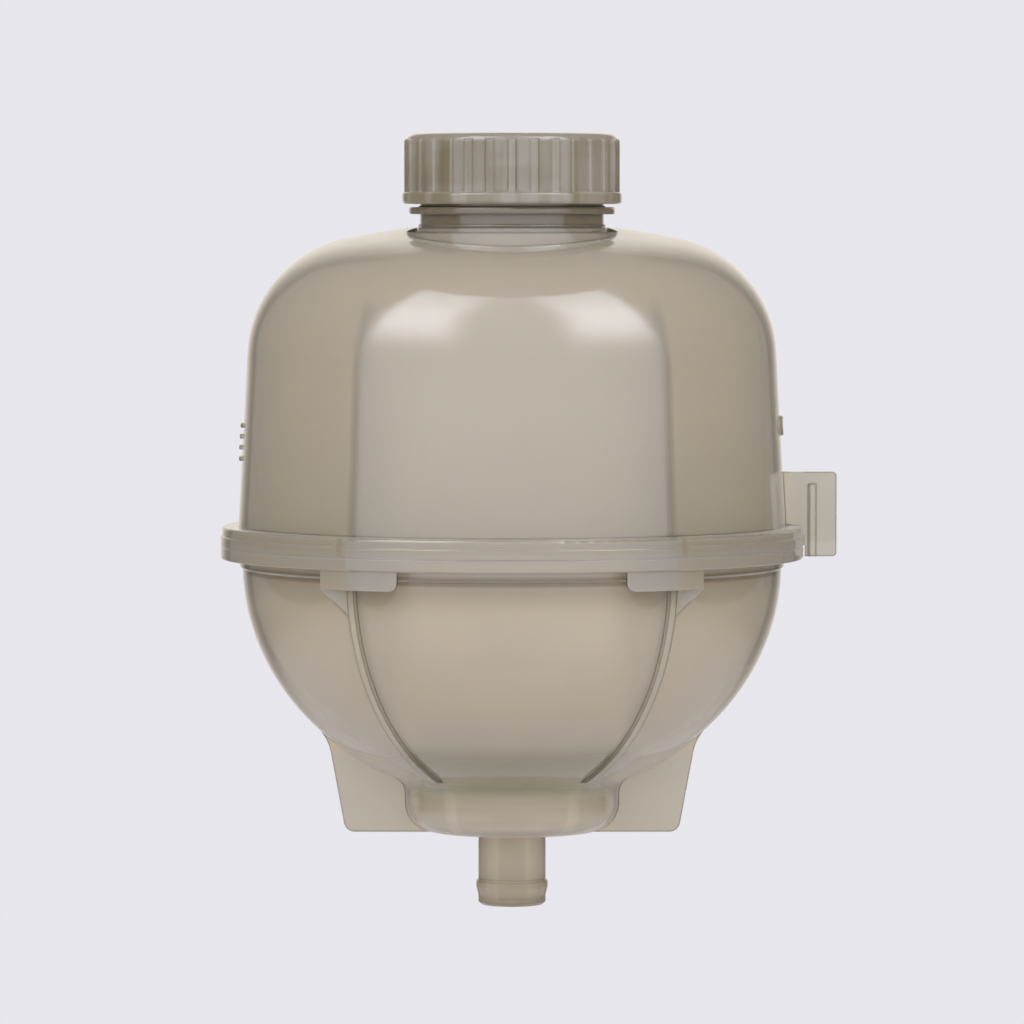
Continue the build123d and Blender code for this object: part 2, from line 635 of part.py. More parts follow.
def vacuum_spring_clip():
    """Washer pushed on the stem, which the vacuum spring lifts."""
    return NECK_AXIS * ring(CLIP_R, STEM_R, STEM_TOP_Z - CLIP_T, STEM_TOP_Z)


def vacuum_spring():
    return NECK_AXIS * coil(
        VACUUM_COIL_R, VACUUM_WIRE_R, VACUUM_TURNS, PLATE_TOP_Z, STEM_TOP_Z - CLIP_T
    )


PIECES = {
    "upper_shell": upper_shell,
    "lower_shell": lower_shell,
    "cap_shell": cap_shell,
    "cap_insert": cap_insert,
    "valve_cover": valve_cover,
    "neck_seal_ring": neck_seal_ring,
    "pressure_valve_plate": pressure_valve_plate,
    "pressure_valve_seal": pressure_valve_seal,
    "pressure_spring": pressure_spring,
    "vacuum_poppet": vacuum_poppet,
    "vacuum_spring_clip": vacuum_spring_clip,
    "vacuum_spring": vacuum_spring,
}

os.makedirs("parts", exist_ok=True)
for name, make in PIECES.items():
    export_step(make(), f"parts/{name}.step")
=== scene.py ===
from math import ceil, cos, pi, radians, sin, tan, tau

import bmesh
import bpy
from bpy.props import FloatProperty, FloatVectorProperty, IntProperty, PointerProperty
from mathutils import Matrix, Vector


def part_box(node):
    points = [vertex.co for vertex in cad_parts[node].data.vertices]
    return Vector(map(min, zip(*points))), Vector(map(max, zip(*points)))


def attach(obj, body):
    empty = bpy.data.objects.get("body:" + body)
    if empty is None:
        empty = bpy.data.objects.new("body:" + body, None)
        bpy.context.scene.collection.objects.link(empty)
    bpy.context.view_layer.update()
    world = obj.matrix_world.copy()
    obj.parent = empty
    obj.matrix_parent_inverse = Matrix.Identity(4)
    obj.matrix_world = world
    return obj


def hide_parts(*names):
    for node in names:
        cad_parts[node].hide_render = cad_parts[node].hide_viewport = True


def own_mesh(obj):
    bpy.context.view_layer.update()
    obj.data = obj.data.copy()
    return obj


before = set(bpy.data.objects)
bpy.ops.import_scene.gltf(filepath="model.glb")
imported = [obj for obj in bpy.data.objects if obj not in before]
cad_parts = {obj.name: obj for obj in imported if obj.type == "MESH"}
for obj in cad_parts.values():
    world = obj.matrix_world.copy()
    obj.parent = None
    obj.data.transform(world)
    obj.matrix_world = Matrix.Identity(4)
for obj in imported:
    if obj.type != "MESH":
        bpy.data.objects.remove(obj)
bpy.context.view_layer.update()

bl_info = {
    "name": "Coolant expansion tank",
    "version": (1, 0, 0),
    "blender": (4, 5, 0),
    "location": "View3D > Sidebar > Tank",
    "description": "Finishes, threads, level marks and studio for a coolant expansion tank",
    "category": "Object",
}

MM = 0.001
UP = Vector((0, 0, 1))

CAP_LOW, CAP_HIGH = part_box("cap_shell")
NECK_Y = (CAP_LOW.y + CAP_HIGH.y) / 2
WELD_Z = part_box("lower_shell")[1].z
FLANGE_R = -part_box("lower_shell")[0].y
FLANGE_ROOT_R = 78 * MM
BOWL_R = 77.6 * MM
NECK_FOOT_Z = CAP_LOW.z - 7.8 * MM
NECK_POCKET_R = 30.6 * MM
RIB_AZIMUTH = radians(35)
RIB_TOP_Z = 132 * MM
TOP_MARK_Z = 114.8 * MM


class TankSizes(bpy.types.PropertyGroup):
    """Sizes of the pieces that this script makes"""

    neck_r: FloatProperty(
        name="Neck radius", description="Outside of the filler neck", default=25.5 * MM, unit="LENGTH")
    cap_bore_r: FloatProperty(
        name="Cap bore radius", description="Inside of the cap's skirt", default=27.5 * MM, unit="LENGTH")
    thread_lead: FloatProperty(
        name="Thread lead", description="Rise of the thread in one turn", default=8.0 * MM, unit="LENGTH")
    thread_starts: IntProperty(
        name="Thread starts", description="Separate threads round the neck", default=2)
    thread_turns: FloatProperty(
        name="Thread turns", description="Turns of each thread", default=1.1)
    thread_height: FloatProperty(
        name="Thread height", description="How far a thread stands out", default=1.25 * MM, unit="LENGTH")
    thread_width: FloatProperty(
        name="Thread width", description="Width of a thread at its root", default=1.7 * MM, unit="LENGTH")
    wall_foot_r: FloatProperty(
        name="Wall foot radius", description="Outside of the upper wall at the weld", default=77.28 * MM,
        unit="LENGTH")
    wall_draft: FloatProperty(
        name="Wall draft", description="Lean of the upper wall", default=radians(3.05), subtype="ANGLE")
    mark_proud: FloatProperty(
        name="Mark height", description="How far a raised mark stands out", default=0.9 * MM, unit="LENGTH")
    pressure_coil_r: FloatProperty(
        name="Pressure coil radius", description="Mean radius of the pressure spring", default=10.0 * MM,
        unit="LENGTH")
    pressure_wire_r: FloatProperty(
        name="Pressure wire radius", description="Wire of the pressure spring", default=0.7 * MM,
        unit="LENGTH")
    vacuum_coil_r: FloatProperty(
        name="Vacuum coil radius", description="Mean radius of the vacuum spring", default=3.6 * MM,
        unit="LENGTH")
    vacuum_wire_r: FloatProperty(
        name="Vacuum wire radius", description="Wire of the vacuum spring", default=0.3 * MM,
        unit="LENGTH")
    spring_turns: FloatProperty(
        name="Spring turns", description="Live turns of both springs", default=2.5)


class TankColours(bpy.types.PropertyGroup):
    """Colours of the finishes"""

    tank: FloatVectorProperty(
        name="Tank", description="Milky plastic of both shells", default=(0.765, 0.706, 0.615), size=3,
        subtype="COLOR", min=0, max=1)
    tank_pale: FloatVectorProperty(
        name="Tank pale", description="Pale drift in the milky plastic", default=(0.795, 0.737, 0.647),
        size=3, subtype="COLOR", min=0, max=1)
    cap: FloatVectorProperty(
        name="Cap", description="Plastic of the cap", default=(0.48, 0.43, 0.35), size=3, subtype="COLOR",
        min=0, max=1)
    cap_pale: FloatVectorProperty(
        name="Cap pale", description="Pale drift in the cap", default=(0.53, 0.48, 0.40), size=3,
        subtype="COLOR", min=0, max=1)
    valve: FloatVectorProperty(
        name="Valve", description="Plastic of the valve housing", default=(0.28, 0.25, 0.2), size=3,
        subtype="COLOR", min=0, max=1)
    rubber: FloatVectorProperty(
        name="Rubber", description="Seals", default=(0.025, 0.025, 0.027), size=3, subtype="COLOR",
        min=0, max=1)
    steel: FloatVectorProperty(
        name="Steel", description="Spring wire", default=(0.55, 0.55, 0.54), size=3, subtype="COLOR",
        min=0, max=1)
    backdrop: FloatVectorProperty(
        name="Backdrop", description="Floor and surroundings as seen", default=(0.799, 0.791, 0.838), size=3,
        subtype="COLOR", min=0, max=1)


class StudioSettings(bpy.types.PropertyGroup):
    """Camera, floor and lamps"""

    eye_distance: FloatProperty(
        name="Eye distance", description="Camera in front of the tank's axis", default=1.813, unit="LENGTH")
    eye_z: FloatProperty(name="Eye height", description="Camera height", default=0.1768, unit="LENGTH")
    aim_z: FloatProperty(
        name="Aim height", description="Height that the camera looks at", default=0.0902, unit="LENGTH")
    lens: FloatProperty(name="Lens", description="Focal length in millimetres", default=226.6)
    floor_z: FloatProperty(
        name="Floor height", description="Height of the floor", default=-0.30, unit="LENGTH")
    floor_r: FloatProperty(
        name="Floor radius", description="Radius of the floor", default=1.6, unit="LENGTH")
    lamp_centre_z: FloatProperty(
        name="Lamp centre", description="Height that the light panels turn round", default=0.12,
        unit="LENGTH")
    lamp_distance: FloatProperty(
        name="Lamp distance", description="From the tank to the front card", default=1.5, unit="LENGTH")
    box_level: FloatProperty(name="Softbox level", description="Radiance in the softboxes", default=2.9)
    card_level: FloatProperty(name="Card level", description="Radiance of the front card", default=0.88)
    rim_level: FloatProperty(
        name="Rim level", description="Radiance of the card behind the tank", default=0.8)
    key_level: FloatProperty(
        name="Key level", description="Radiance of the cards that light matt faces", default=1.25)
    fill_level: FloatProperty(
        name="Fill level", description="Light of the surroundings on matt faces", default=0.75)
    gloss_level: FloatProperty(
        name="Gloss level", description="Surroundings as mirrored away from the panels", default=0.16)
    card_tint: FloatVectorProperty(
        name="Card tint", description="Tone of the front card", default=(0.94, 0.97, 1.05), size=3,
        subtype="COLOR")
    fill_tint: FloatVectorProperty(
        name="Fill tint", description="Tone of the surroundings and the other cards",
        default=(1.0, 0.93, 0.83), size=3, subtype="COLOR", min=0, max=1)


def sizes():
    return bpy.context.scene.tank_sizes


def colours():
    return bpy.context.scene.tank_colours


def studio():
    return bpy.context.scene.tank_studio


def new_mesh(name, fill):
    """Object from a bmesh that fill(bm) builds."""
    mesh = bpy.data.meshes.new(name)
    bm = bmesh.new()
    fill(bm)
    bmesh.ops.recalc_face_normals(bm, faces=bm.faces)
    bm.to_mesh(mesh)
    bm.free()
    piece = bpy.data.objects.new(name, mesh)
    bpy.context.scene.collection.objects.link(piece)
    return piece


def smooth(piece, angle):
    """Smooth shading with crisp edges above an angle."""
    for polygon in piece.data.polygons:
        polygon.use_smooth = True
    piece.data.set_sharp_from_angle(angle=radians(angle))


def dress(piece, material, body):
    """Gives a made piece its finish and its body."""
    piece.data.materials.append(material)
    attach(piece, body)


def paint_node(node, material, angle=35):
    """Gives a CAD node its finish, with crisp edges above an angle."""
    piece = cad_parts[node]
    piece.data.materials.clear()
    piece.data.materials.append(material)
    smooth(piece, angle)


def skin(bm, rings, closed=False):
    """Skins equal rings of vertices, capped at both ends unless they close on themselves."""
    count = len(rings[0])
    spans = list(zip(rings, rings[1:]))
    if closed:
        spans.append((rings[-1], rings[0]))
    for first, second in spans:
        for i in range(count):
            j = (i + 1) % count
            bm.faces.new((first[i], first[j], second[j], second[i]))
    if not closed:
        bm.faces.new(rings[0][::-1])
        bm.faces.new(rings[-1])


def swept_tube(bm, path, section, closed=False):
    """Sweeps a section along frames (origin, out, up)."""
    rings = []
    for origin, out, up in path:
        rings.append([bm.verts.new(origin + out * x + up * y) for x, y in section])
    skin(bm, rings, closed)


def round_section(radius, sides):
    """Section of a round wire or bead."""
    return [(radius * cos(tau * i / sides), radius * sin(tau * i / sides)) for i in range(sides)]


def outward(angle):
    """Level unit vector at an angle about +Z."""
    return Vector((cos(angle), sin(angle), 0))


def ring_frames(centre, radius, steps):
    """Frames round a level circle."""
    turns = [outward(tau * step / steps) for step in range(steps)]
    return [(out * radius + centre, out, UP) for out in turns]


def helix_frames(radius, low_z, lead, turns, start, steps_per_turn=96):
    """Frames along a right-handed helix about the neck's axis."""
    frames = []
    steps = ceil(turns * steps_per_turn)
    for step in range(steps + 1):
        turn = turns * step / steps
        out = outward(start + tau * turn)
        frames.append((Vector((0, NECK_Y, low_z + lead * turn)) + out * radius, out, UP))
    return frames


class Nodes:
    """Short way to add and link the shader nodes of a material or a world."""

    def __init__(self, owner):
        owner.use_nodes = True
        self.tree = owner.node_tree

    def add(self, kind, **settings):
        node = self.tree.nodes.new(kind)
        for key, value in settings.items():
            setattr(node, key, value)
        return node

    def link(self, output, socket):
        self.tree.links.new(output, socket)

    def feed(self, socket, value):
        """Links a socket to an output, or sets it to a plain value."""
        if isinstance(value, bpy.types.NodeSocket):
            self.link(value, socket)
        else:
            socket.default_value = value

    def math(self, operation, first, second):
        """Math node on outputs or plain numbers."""
        node = self.add("ShaderNodeMath", operation=operation)
        self.feed(node.inputs[0], first)
        self.feed(node.inputs[1], second)
        return node.outputs[0]

    def times(self, first, *others):
        """Product of factors."""
        for other in others:
            first = self.math("MULTIPLY", first, other)
        return first

    def band(self, value, start, end):
        """0 below start, 1 above end, smooth between."""
        ramp = self.add("ShaderNodeMapRange", interpolation_type="SMOOTHSTEP")
        ramp.inputs["From Min"].default_value = start
        ramp.inputs["From Max"].default_value = end
        self.link(value, ramp.inputs["Value"])
        return ramp.outputs["Result"]

    def fall(self, value, start, end):
        """1 below start, 0 above end, smooth between."""
        return self.band(self.math("MULTIPLY", value, -1), -end, -start)

    def mix(self, factor, first, second, mode="MIX"):
        """Colour between two plain colours or outputs."""
        mix = self.add("ShaderNodeMix", data_type="RGBA", blend_type=mode)
        self.link(factor, mix.inputs["Factor"])
        self.feed(mix.inputs["A"], first)
        self.feed(mix.inputs["B"], second)
        return mix.outputs["Result"]

    def coloured(self, kind, colour, strength=None):
        """Shader of one colour, and of a strength where the kind has one."""
        node = self.add(kind)
        node.inputs["Color"].default_value = (*colour, 1)
        if strength is not None:
            self.feed(node.inputs["Strength"], strength)
        return node.outputs[0]

    def mix_shaders(self, share, first, second):
        """The first shader where the share is 0, the second where it is 1."""
        mix = self.add("ShaderNodeMixShader")
        self.link(share, mix.inputs["Fac"])
        self.link(first, mix.inputs[1])
        self.link(second, mix.inputs[2])
        return mix.outputs[0]


class MaterialNodes(Nodes):
    """Material with a Principled shader."""

    def __init__(self, name):
        self.material = bpy.data.materials.new(name)
        super().__init__(self.material)
        self.shader = self.tree.nodes["Principled BSDF"]

    def set(self, **values):
        """Plain values of the shader's sockets."""
        for key, value in values.items():
            self.shader.inputs[key.replace("_", " ")].default_value = value

    def noise(self, scale, detail=3.0, stretch=(1, 1, 1)):
        """Noise in the part's own frame."""
        place = self.add("ShaderNodeTexCoord")
        spread = self.add("ShaderNodeVectorMath", operation="MULTIPLY")
        spread.inputs[1].default_value = stretch
        self.link(place.outputs["Object"], spread.inputs[0])
        noise = self.add("ShaderNodeTexNoise")
        noise.inputs["Scale"].default_value = scale
        noise.inputs["Detail"].default_value = detail
        self.link(spread.outputs[0], noise.inputs["Vector"])
        return noise.outputs["Fac"]

    def ramp(self, factor, low, high, start=0.3, end=0.7):
        """Low below start, high above end, straight between."""
        ramp = self.add("ShaderNodeMapRange")
        ramp.inputs["From Min"].default_value = start
        ramp.inputs["From Max"].default_value = end
        ramp.inputs["To Min"].default_value = low
        ramp.inputs["To Max"].default_value = high
        self.link(factor, ramp.inputs["Value"])
        return ramp.outputs["Result"]

    def blend(self, factor, first, second, start=0.3, end=0.7):
        """First colour below start, second above end."""
        return self.mix(self.ramp(factor, 0, 1, start, end), (*first, 1), (*second, 1))

    def tint(self, factor, share, colour, multiplier):
        """Multiplies a colour by another where the factor is 1, by a share of it."""
        return self.mix(self.math("MULTIPLY", factor, share), colour, (*multiplier, 1), "MULTIPLY")

    def bump(self, factor, height, strength=1.0, edge=0):
        """Surface relief, on edges rounded by a radius."""
        bump = self.add("ShaderNodeBump")
        bump.inputs["Strength"].default_value = strength
        bump.inputs["Distance"].default_value = height
        self.link(factor, bump.inputs["Height"])
        if edge:
            rounded = self.add("ShaderNodeBevel", samples=4)
            self.feed(rounded.inputs["Radius"], edge)
            self.link(rounded.outputs["Normal"], bump.inputs["Normal"])
        self.link(bump.outputs["Normal"], self.shader.inputs["Normal"])

    def place(self):
        """X, Y and Z in the part's own frame."""
        split = self.add("ShaderNodeSeparateXYZ")
        self.link(self.add("ShaderNodeTexCoord").outputs["Object"], split.inputs[0])
        return split.outputs

    def length(self, x, y):
        """Length of a level vector."""
        return self.math("SQRT", self.math("ADD", self.times(x, x), self.times(y, y)), 0)

    def axis_distance(self):
        """Distance from the tank's axis."""
        place = self.place()
        return self.length(place["X"], place["Y"])

    def edges(self, radius):
        """1 on edges, 0 on plain faces, as wide as a radius."""
        flat, edge = 0.01, 0.15
        rounded = self.add("ShaderNodeBevel", samples=4)
        rounded.inputs["Radius"].default_value = radius
        turn = self.add("ShaderNodeVectorMath", operation="DOT_PRODUCT")
        self.link(rounded.outputs["Normal"], turn.inputs[0])
        self.link(self.add("ShaderNodeNewGeometry").outputs["Normal"], turn.inputs[1])
        return self.band(self.math("SUBTRACT", 1, turn.outputs["Value"]), flat, edge)


def neck_shade(made):
    """1 on the neck under the cap and in the pocket round it, where shade is painted."""
    place = made.place()
    across = made.math("SUBTRACT", place["Y"], NECK_Y)
    inside = made.fall(made.length(place["X"], across), NECK_POCKET_R - 1.6 * MM, NECK_POCKET_R)
    above = made.band(place["Z"], NECK_FOOT_Z + 0.2 * MM, NECK_FOOT_Z + 2.5 * MM)
    below = made.fall(place["Z"], CAP_LOW.z + 2 * MM, CAP_LOW.z + 6 * MM)
    return made.times(inside, above, below)


def rib_area(made, reach):
    """1 along the four stiffening ribs, to a reach on both sides of their middle."""
    place = made.place()
    wide = made.math("ABSOLUTE", place["X"], 0)
    deep = made.math("ABSOLUTE", place["Y"], 0)
    along_x = made.math("MULTIPLY", wide, cos(RIB_AZIMUTH))
    along_y = made.math("MULTIPLY", deep, sin(RIB_AZIMUTH))
    aside = made.math("ABSOLUTE", made.math("SUBTRACT", along_x, along_y), 0)
    return made.fall(aside, 0.5 * reach, reach)


def wall_rib_area(made):
    """1 over the ribs inside the upper wall, where the plastic is thicker."""
    height = made.place()["Z"]
    below = made.fall(height, RIB_TOP_Z, RIB_TOP_Z + 6 * MM)
    above = made.band(height, WELD_Z, WELD_Z + 1 * MM)
    return made.times(rib_area(made, 1.2 * MM), below, above)


def low_wall_shade(made):
    """1 at the foot of the upper wall, less and less up to the middle of it: painted shade above the flange.
    """
    height = made.place()["Z"]
    above = made.band(height, WELD_Z, WELD_Z + 2 * MM)
    return made.times(above, made.fall(height, WELD_Z + 2 * MM, WELD_Z + 48 * MM))


def flange_area(made):
    """1 on the weld flange."""
    reach = made.axis_distance()
    outside = made.band(reach, FLANGE_ROOT_R, FLANGE_ROOT_R + 0.6 * MM)
    return made.times(outside, made.fall(reach, FLANGE_R, FLANGE_R + 0.3 * MM))


def on_bowl(made):
    """1 on the bowl and inside it, 0 on what stands out from it."""
    return made.fall(made.axis_distance(), BOWL_R - 0.4 * MM, BOWL_R)


def under_flange_shade(made):
    """1 in the soft shade patches under the flange beside the lugs, cast by the web inside."""
    top_z, depth = 76.8 * MM, 10 * MM
    place = made.place()
    wide = made.math("ABSOLUTE", place["X"], 0)
    drop = made.math("DIVIDE", made.math("SUBTRACT", place["Z"], top_z), depth)
    patches = []
    for centre, half_width in ((57 * MM, 12.5 * MM), (37 * MM, 6.5 * MM)):
        aside = made.math("DIVIDE", made.math("SUBTRACT", wide, centre), half_width)
        spread = made.math("ADD", made.times(aside, aside), made.times(drop, drop))
        patches.append(made.fall(spread, 0.75, 1.15))
    below = made.fall(place["Z"], 75 * MM, 76 * MM)
    return made.times(made.math("MAXIMUM", *patches), below, on_bowl(made))


def collar_area(made):
    """1 in the shade line where the collar under the flange meets the bowl."""
    low_z, high_z, soft = 73 * MM, 76.4 * MM, 0.8 * MM
    height = made.place()["Z"]
    above = made.band(height, low_z, low_z + soft)
    return made.times(on_bowl(made), above, made.fall(height, high_z - soft, high_z))


def sump_hollow_shade(made):
    """1 in the hollow where the bowl runs into the sump: painted shade of the hollow, deepened by several
    walls seen through.
    """
    place = made.place()
    inside = made.fall(made.math("ABSOLUTE", place["X"], 0), 24 * MM, 38 * MM)
    below = made.fall(place["Z"], 23 * MM, 30 * MM)
    return made.times(inside, below, made.band(place["Z"], 9 * MM, 15 * MM))


def nipple_area(made):
    """0 at the root of the nipple, 1 at its tip."""
    root_z, tip_z = -7 * MM, -20 * MM
    return made.fall(made.place()["Z"], tip_z, root_z)


def plate_area(made):
    """1 on the feet and on the side tab."""
    place = made.place()
    wide = made.math("ABSOLUTE", place["X"], 0)
    feet = made.times(made.band(wide, 27 * MM, 31 * MM), made.fall(place["Z"], 20 * MM, 24 * MM))
    tab = made.band(place["X"], 79 * MM, 81 * MM)
    return made.math("MAXIMUM", feet, tab)


def shell_colour(made, colour):
    """The plastic's colour, toned where thick walls show in it, with painted shade under the flange, at the
    wall's foot, in the sump's hollow, on the neck and along edges, painted light on the bowl and its ribs,
    and painted highlights on the flange's edges.
    """
    flange = flange_area(made)
    plates = plate_area(made)
    bowl = made.fall(made.place()["Z"], 66 * MM, 74 * MM)
    # Painted light along the bowl's ribs, to lift the shade beside them.
    bowl_rib_light = made.times(rib_area(made, 2.6 * MM), bowl)
    # Painted shade: dark lines along the shells' edges, off the flange.
    shaded_edges = made.times(made.edges(0.8 * MM), made.math("SUBTRACT", 1, flange))
    # Painted highlights: pale lines along the flange's edges.
    flange_edge_highlights = made.times(made.edges(0.35 * MM), flange)
    tones = (
        (under_flange_shade(made), 0.6, (0.82, 0.81, 0.74)),
        (low_wall_shade(made), 1.0, (0.90, 0.90, 0.87)),
        (flange, 1.0, (0.97, 0.98, 0.99)),
        # Painted light: the bowl below the collar made paler and warmer, as if lit from below.
        (bowl, 1.0, (1.12, 1.11, 1.09)),
        (bowl_rib_light, 1.0, (1.12, 1.13, 1.13)),
        (wall_rib_area(made), 0.55, (0.80, 0.80, 0.74)),
        (sump_hollow_shade(made), made.math("SUBTRACT", 1, plates), (0.62, 0.64, 0.53)),
        (nipple_area(made), 1.0, (0.66, 0.64, 0.59)),
        (plates, 1.0, (0.91, 0.94, 1.0)),
        (collar_area(made), 1.0, (0.68, 0.65, 0.58)),
        (shaded_edges, 1.0, (0.22, 0.22, 0.18)),
        (flange_edge_highlights, 1.0, (1.6, 1.65, 1.8)),
        (neck_shade(made), 1.0, (0.56, 0.52, 0.44)),
    )
    for area, share, multiplier in tones:
        colour = made.tint(area, share, colour, multiplier)
    return colour


def shell_edge_radius(made):
    """Rounding of the shells' edges: wide where ribs melt into the bowl, narrow on the flange."""
    flange = flange_area(made)
    ribs = made.times(rib_area(made, 5 * MM), made.math("SUBTRACT", 1, flange))
    rounded = made.ramp(ribs, 0.6 * MM, 3.4 * MM, start=0, end=1)
    return made.math("SUBTRACT", rounded, made.math("MULTIPLY", flange, 0.35 * MM))


def milky_plastic(name, tone, pale, clear):
    """Translucent moulded plastic with soft depth and a glossy skin.

    Gives its nodes and its drifting colour, which the caller tones and links."""
    depth_tone = (0.86, 0.81, 0.62)
    made = MaterialNodes(name)
    colour = made.blend(made.noise(scale=18, detail=2), tone, pale)
    made.link(made.ramp(made.noise(scale=140, detail=4), 0.14, 0.23), made.shader.inputs["Roughness"])
    made.set(IOR=1.45, Specular_IOR_Level=0.9, Transmission_Weight=clear,
             Subsurface_Weight=0.3, Subsurface_Scale=2.5 * MM, Subsurface_Radius=(1.0, 0.85, 0.7),
             Coat_Weight=1.0, Coat_Roughness=0.045, Coat_IOR=1.7,
             Sheen_Weight=0.28, Sheen_Roughness=0.3, Sheen_Tint=(1.0, 0.96, 0.88, 1.0))
    thick = made.add("ShaderNodeVolumeAbsorption")
    thick.inputs["Color"].default_value = (*depth_tone, 1)
    thick.inputs["Density"].default_value = 150
    made.link(thick.outputs[0], made.tree.nodes["Material Output"].inputs["Volume"])
    return made, colour


def orange_peel(made, scale, edge):
    """Faint relief of a moulded skin, with rounded edges."""
    made.bump(made.noise(scale, detail=2), 0.03 * MM, strength=0.5, edge=edge)


def tank_plastic(name, tone, pale):
    """The pale plastic of both shells."""
    made, colour = milky_plastic(name, tone, pale, clear=0.7)
    made.link(shell_colour(made, colour), made.shader.inputs["Base Color"])
    orange_peel(made, 420, shell_edge_radius(made))
    return made.material


def cap_plastic(name, tone, pale):
    """The denser plastic of the cap, streaked along the moulding's draw, with its inside showing through and
    painted highlights on its edges.
    """
    made, colour = milky_plastic(name, tone, pale, clear=0.5)
    streaks = made.band(made.noise(scale=150, detail=2, stretch=(1, 1, 0.06)), 0.42, 0.6)
    clouds = made.band(made.noise(scale=60, detail=2, stretch=(0.5, 0.5, 1.6)), 0.45, 0.62)
    skirt = made.fall(made.place()["Z"], CAP_HIGH.z - 3.5 * MM, CAP_HIGH.z - 1.5 * MM)
    strength = made.math("ADD", made.math("MULTIPLY", skirt, 0.7), 0.12)
    colour = made.tint(streaks, strength, colour, (0.70, 0.67, 0.54))
    colour = made.tint(clouds, strength, colour, (0.84, 0.82, 0.76))
    # Painted highlights: paler lines along the cap's edges.
    colour = made.tint(made.edges(0.7 * MM), 0.7, colour, (1.35, 1.36, 1.38))
    made.link(colour, made.shader.inputs["Base Color"])
    orange_peel(made, 600, 0.6 * MM)
    return made.material


def matt_plastic(name, tone):
    """Plain moulded plastic."""
    made = MaterialNodes(name)
    deep = [channel * 0.85 for channel in tone]
    made.link(made.blend(made.noise(scale=60), deep, tone), made.shader.inputs["Base Color"])
    made.link(made.ramp(made.noise(scale=400), 0.38, 0.52), made.shader.inputs["Roughness"])
    made.bump(made.noise(scale=900, detail=2), 0.02 * MM, strength=0.4)
    return made.material


def seal_rubber(name, tone):
    """Black sealing rubber with a dusty bloom."""
    made = MaterialNodes(name)
    bloom = [channel * 2.2 for channel in tone]
    made.link(made.blend(made.noise(scale=220), tone, bloom, 0.45, 0.75), made.shader.inputs["Base Color"])
    made.link(made.ramp(made.noise(scale=500), 0.5, 0.68), made.shader.inputs["Roughness"])
    made.bump(made.noise(scale=1600, detail=2), 0.03 * MM, strength=0.4)
    return made.material


def spring_steel(name, tone):
    """Drawn wire with fine streaks."""
    made = MaterialNodes(name)
    deep = [channel * 0.8 for channel in tone]
    made.link(made.blend(made.noise(scale=700), deep, tone), made.shader.inputs["Base Color"])
    made.link(made.ramp(made.noise(scale=1200), 0.22, 0.36), made.shader.inputs["Roughness"])
    made.bump(made.noise(scale=2500, detail=2), 0.01 * MM, strength=0.3)
    made.set(Metallic=1.0)
    return made.material


def finish(name):
    """The named finish, made once."""
    if name in bpy.data.materials:
        return bpy.data.materials[name]
    tone = colours()
    makers = {
        "tank_finish": lambda: tank_plastic(name, tone.tank, tone.tank_pale),
        "cap_finish": lambda: cap_plastic(name, tone.cap, tone.cap_pale),
        "valve_finish": lambda: matt_plastic(name, tone.valve),
        "rubber_finish": lambda: seal_rubber(name, tone.rubber),
        "steel_finish": lambda: spring_steel(name, tone.steel),
    }
    return makers[name]()


class TANK_OT_shells(bpy.types.Operator):
    """Finish of the two welded shells"""

    bl_idname = "tank.shells"
    bl_label = "Shells"

    def execute(self, context):
        for node in ("upper_shell", "lower_shell"):
            paint_node(node, finish("tank_finish"))
        return {"FINISHED"}


class TANK_OT_cap(bpy.types.Operator):
    """Finish of the screw cap"""

    bl_idname = "tank.cap"
    bl_label = "Cap"

    def execute(self, context):
        paint_node("cap_shell", finish("cap_finish"))
        return {"FINISHED"}


class TANK_OT_valves(bpy.types.Operator):
    """Finishes of the valve housing, its seals and its moving parts"""

    bl_idname = "tank.valves"
    bl_label = "Valves"

    def execute(self, context):
        wear = {
            "valve_finish": ("cap_insert", "valve_cover", "pressure_valve_plate", "vacuum_poppet"),
            "rubber_finish": ("neck_seal_ring", "pressure_valve_seal"),
            "steel_finish": ("vacuum_spring_clip",),
        }
        for name, nodes in wear.items():
            for node in nodes:
                paint_node(node, finish(name))
        return {"FINISHED"}


def coil_spring(name, radius, wire, turns, low_z, high_z):
    """Round wire compression spring with closed ends about the neck's axis."""
    span = high_z - low_z - 2 * wire
    closed_turns = 0.75
    all_turns = turns + 2 * closed_turns
    steps = ceil(all_turns * 72)

    def fill(bm):
        path = []
        for step in range(steps + 1):
            turn = all_turns * step / steps
            rise = min(max((turn - closed_turns) / turns, 0), 1)
            out = outward(tau * turn)
            path.append((Vector((0, NECK_Y, low_z + wire + span * rise)) + out * radius, out, UP))
        swept_tube(bm, path, round_section(wire, 12))

    piece = new_mesh(name, fill)
    smooth(piece, 60)
    return piece


class TANK_OT_springs(bpy.types.Operator):
    """Wire springs of the two valves"""

    bl_idname = "tank.springs"
    bl_label = "Springs"

    def execute(self, context):
        size = sizes()
        turns = size.spring_turns
        low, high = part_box("pressure_spring")
        main = coil_spring("pressure_coil", size.pressure_coil_r, size.pressure_wire_r, turns, low.z, high.z)
        dress(main, finish("steel_finish"), "cap_core")
        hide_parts("pressure_spring")
        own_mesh(main)
        low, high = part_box("vacuum_spring")
        small = coil_spring("vacuum_coil", size.vacuum_coil_r, size.vacuum_wire_r, turns, low.z, high.z)
        dress(small, finish("steel_finish"), "pressure_valve")
        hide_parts("vacuum_spring")
        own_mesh(small)
        return {"FINISHED"}


